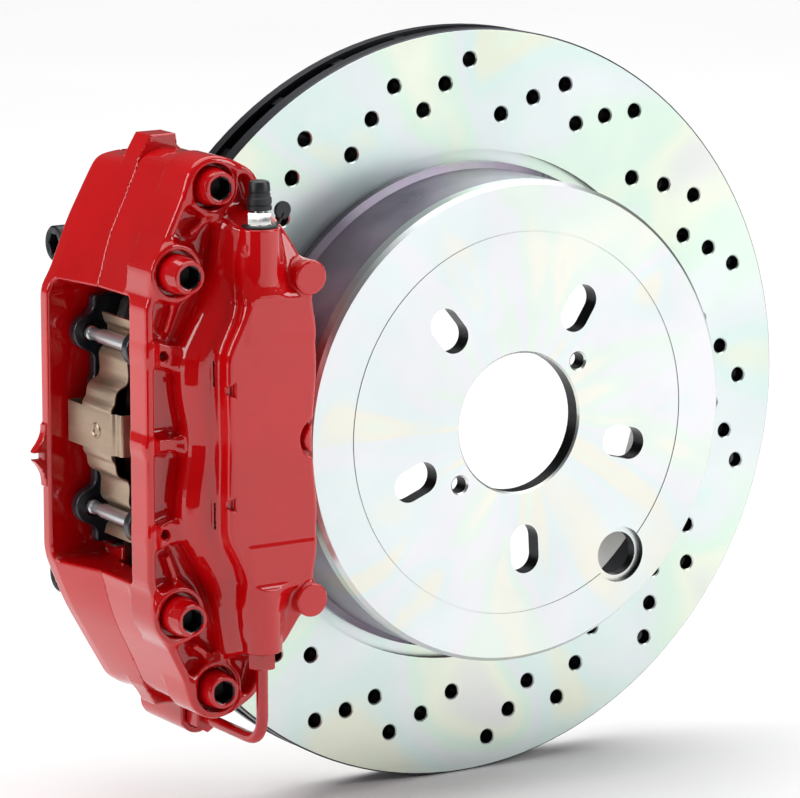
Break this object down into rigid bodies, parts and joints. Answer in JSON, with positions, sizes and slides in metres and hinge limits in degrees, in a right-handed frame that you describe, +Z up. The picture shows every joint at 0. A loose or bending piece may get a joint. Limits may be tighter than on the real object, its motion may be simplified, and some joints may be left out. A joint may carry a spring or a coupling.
{
  "type": "brake caliper with disc",
  "caption": "Red fixed brake caliper over a vented, cross-drilled disc with a deep hat and slotted stud holes.",
  "frame": {"origin": "on the disc's axis, at the hat's hub mounting face", "axes": "+Y along the disc's axis towards the hub, -Y towards the wheel, +Z up, the caliper at -X"},
  "size_m": [0.3425, 0.124, 0.316],
  "materials": {
    "zinc_plated_iron": "ground and silver zinc plated",
    "red_paint": "gloss powder coat",
    "black_screw": "black oxide",
    "bright_steel": "ground",
    "spring_steel": "yellow passivated strip",
    "anodised_piston": "anodised",
    "black_rubber": "moulded",
    "pad_backing": "black powder coat",
    "pad_lining": "moulded friction compound",
    "yellow_plug": "moulded polyethylene"
  },
  "bodies": {
    "caliper": {"outer_half": "red_paint", "inner_half": "red_paint", "bridge_bolts": "red_paint", "mounting_screws": "black_screw", "mounting_washers": "bright_steel", "piston_seals": "black_rubber", "dust_boots": "black_rubber", "pad_pins": "bright_steel", "pin_sleeves": "bright_steel", "pad_spring": "spring_steel", "spring_rivet": "spring_steel", "abutment_plates": "bright_steel", "abutment_screws": "bright_steel", "cap_tethers": "black_rubber", "crossover_pipe": "red_paint", "pipe_nuts": "red_paint"},
    "disc": {"disc_hat": "zinc_plated_iron", "disc_drum": "zinc_plated_iron", "disc_ring": "zinc_plated_iron"},
    "outer_pad": {"outer_pad_plate": "pad_backing", "outer_pad_lining": "pad_lining", "outer_pad_shim": "bright_steel"},
    "inner_pad": {"inner_pad_plate": "pad_backing", "inner_pad_lining": "pad_lining", "inner_pad_shim": "bright_steel"},
    "outer_piston_pair": {"outer_pistons": "anodised_piston"},
    "inner_piston_pair": {"inner_pistons": "anodised_piston"},
    "outer_bleeder": {"outer_bleed_screw": "bright_steel"},
    "inner_bleeder": {"inner_bleed_screw": "bright_steel"},
    "outer_cap": {"outer_bleed_cap": "black_rubber"},
    "inner_cap": {"inner_bleed_cap": "black_rubber"},
    "plug": {"inlet_plug": "yellow_plug"}
  },
  "joints": [
    {"name": "disc_spin", "type": "hinge", "parent": "caliper", "child": "disc", "pos_m": [0, 0, 0], "axis": [0, 1, 0], "continuous": true},
    {"name": "outer_pad_slide", "type": "slide", "parent": "caliper", "child": "outer_pad", "axis": [0, 1, 0], "range_m": [-0.002, 0.00035]},
    {"name": "inner_pad_slide", "type": "slide", "parent": "caliper", "child": "inner_pad", "axis": [0, -1, 0], "range_m": [-0.002, 0.00035]},
    {"name": "outer_piston_slide", "type": "slide", "parent": "caliper", "child": "outer_piston_pair", "axis": [0, 1, 0], "range_m": [-0.002, 0.00035]},
    {"name": "inner_piston_slide", "type": "slide", "parent": "caliper", "child": "inner_piston_pair", "axis": [0, -1, 0], "range_m": [-0.002, 0.00035]},
    {"name": "outer_bleed_turn", "type": "hinge", "parent": "caliper", "child": "outer_bleeder", "pos_m": [-0.123, -0.008, 0.092], "axis": [0, 0, 1], "range_deg": [0, 360]},
    {"name": "inner_bleed_turn", "type": "hinge", "parent": "caliper", "child": "inner_bleeder", "pos_m": [-0.1205, 0.093, 0.092], "axis": [0, 0, 1], "range_deg": [0, 360]},
    {"name": "outer_cap_lift", "type": "slide", "parent": "caliper", "child": "outer_cap", "axis": [0, 0, 1], "range_m": [0, 0.012]},
    {"name": "inner_cap_lift", "type": "slide", "parent": "caliper", "child": "inner_cap", "axis": [0, 0, 1], "range_m": [0, 0.012]},
    {"name": "plug_pull", "type": "slide", "parent": "caliper", "child": "plug", "axis": [0, 1, 0], "range_m": [0, 0.012]}
  ],
  "couplings": [
    {"joint": "inner_pad_slide", "follows": "outer_pad_slide", "ratio": 1},
    {"joint": "outer_piston_slide", "follows": "outer_pad_slide", "ratio": 1},
    {"joint": "inner_piston_slide", "follows": "outer_pad_slide", "ratio": 1}
  ]
}
